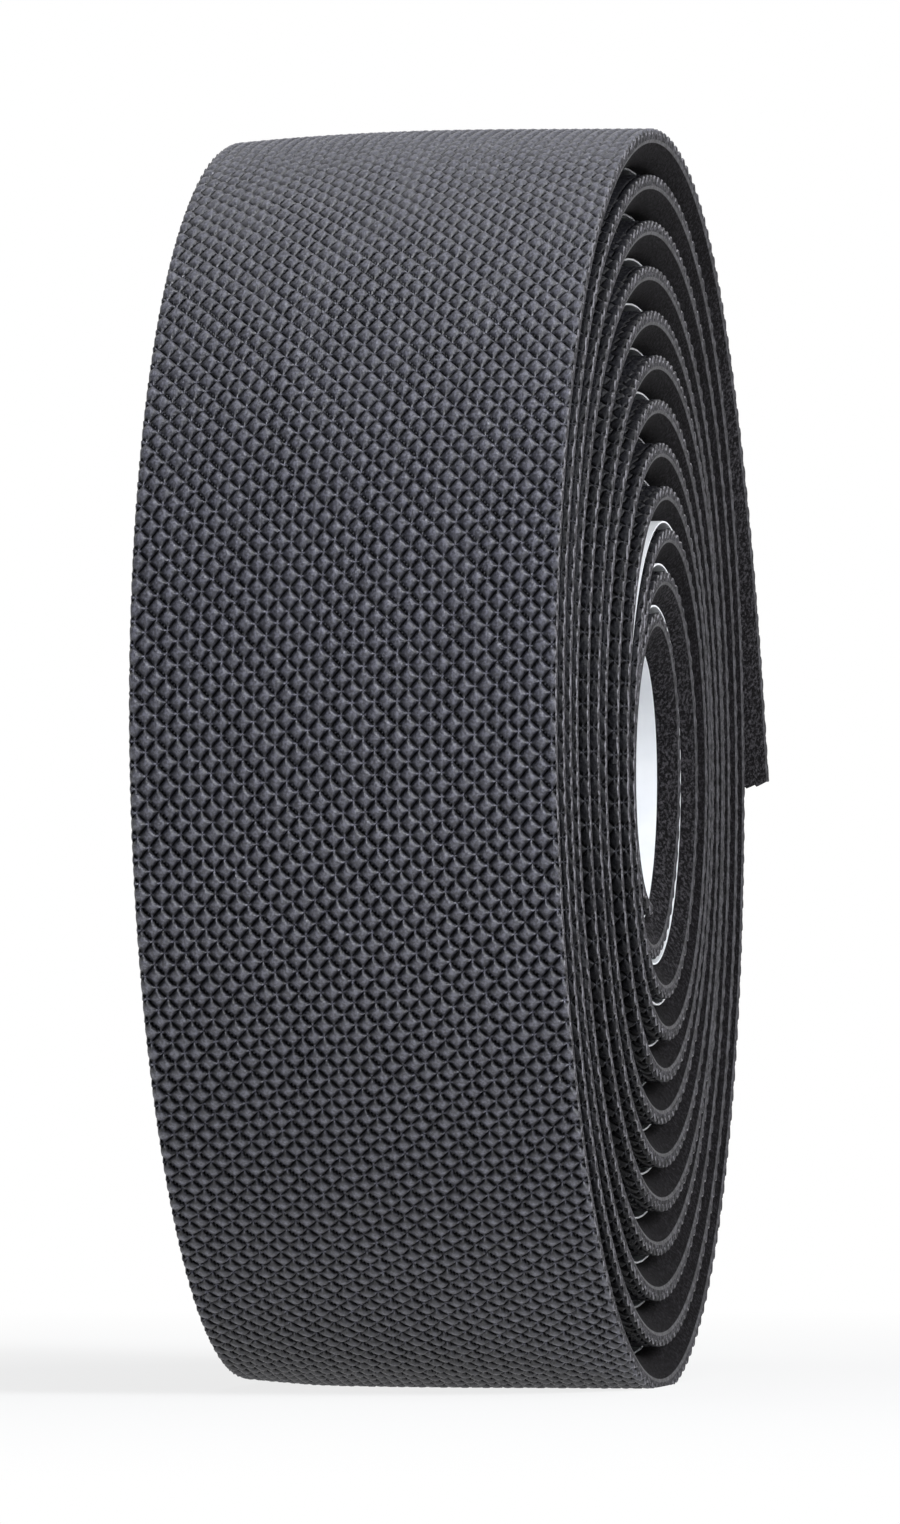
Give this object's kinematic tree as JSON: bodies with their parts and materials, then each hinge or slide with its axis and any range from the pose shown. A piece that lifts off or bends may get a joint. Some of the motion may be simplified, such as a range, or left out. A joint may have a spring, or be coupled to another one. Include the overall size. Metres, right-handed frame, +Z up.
{
  "type": "handlebar tape roll",
  "caption": "Roll of padded bicycle handlebar tape with an embossed diamond face, wound with its release paper and standing on its rim.",
  "frame": {"origin": "middle of the bottom of the standing roll", "axes": "+X along the axis of the roll, out of the end that the picture shows; +Y to the rear, where the outer end of the tape hangs; +Z up"},
  "size_m": [0.032, 0.0974, 0.0892],
  "materials": {
    "foam_tape": "matte embossed skin on closed-cell foam",
    "release_paper": "smooth silicone-coated white paper"
  },
  "bodies": {
    "root": {"tape": "foam_tape", "backing_paper": "release_paper"}
  },
  "joints": []
}
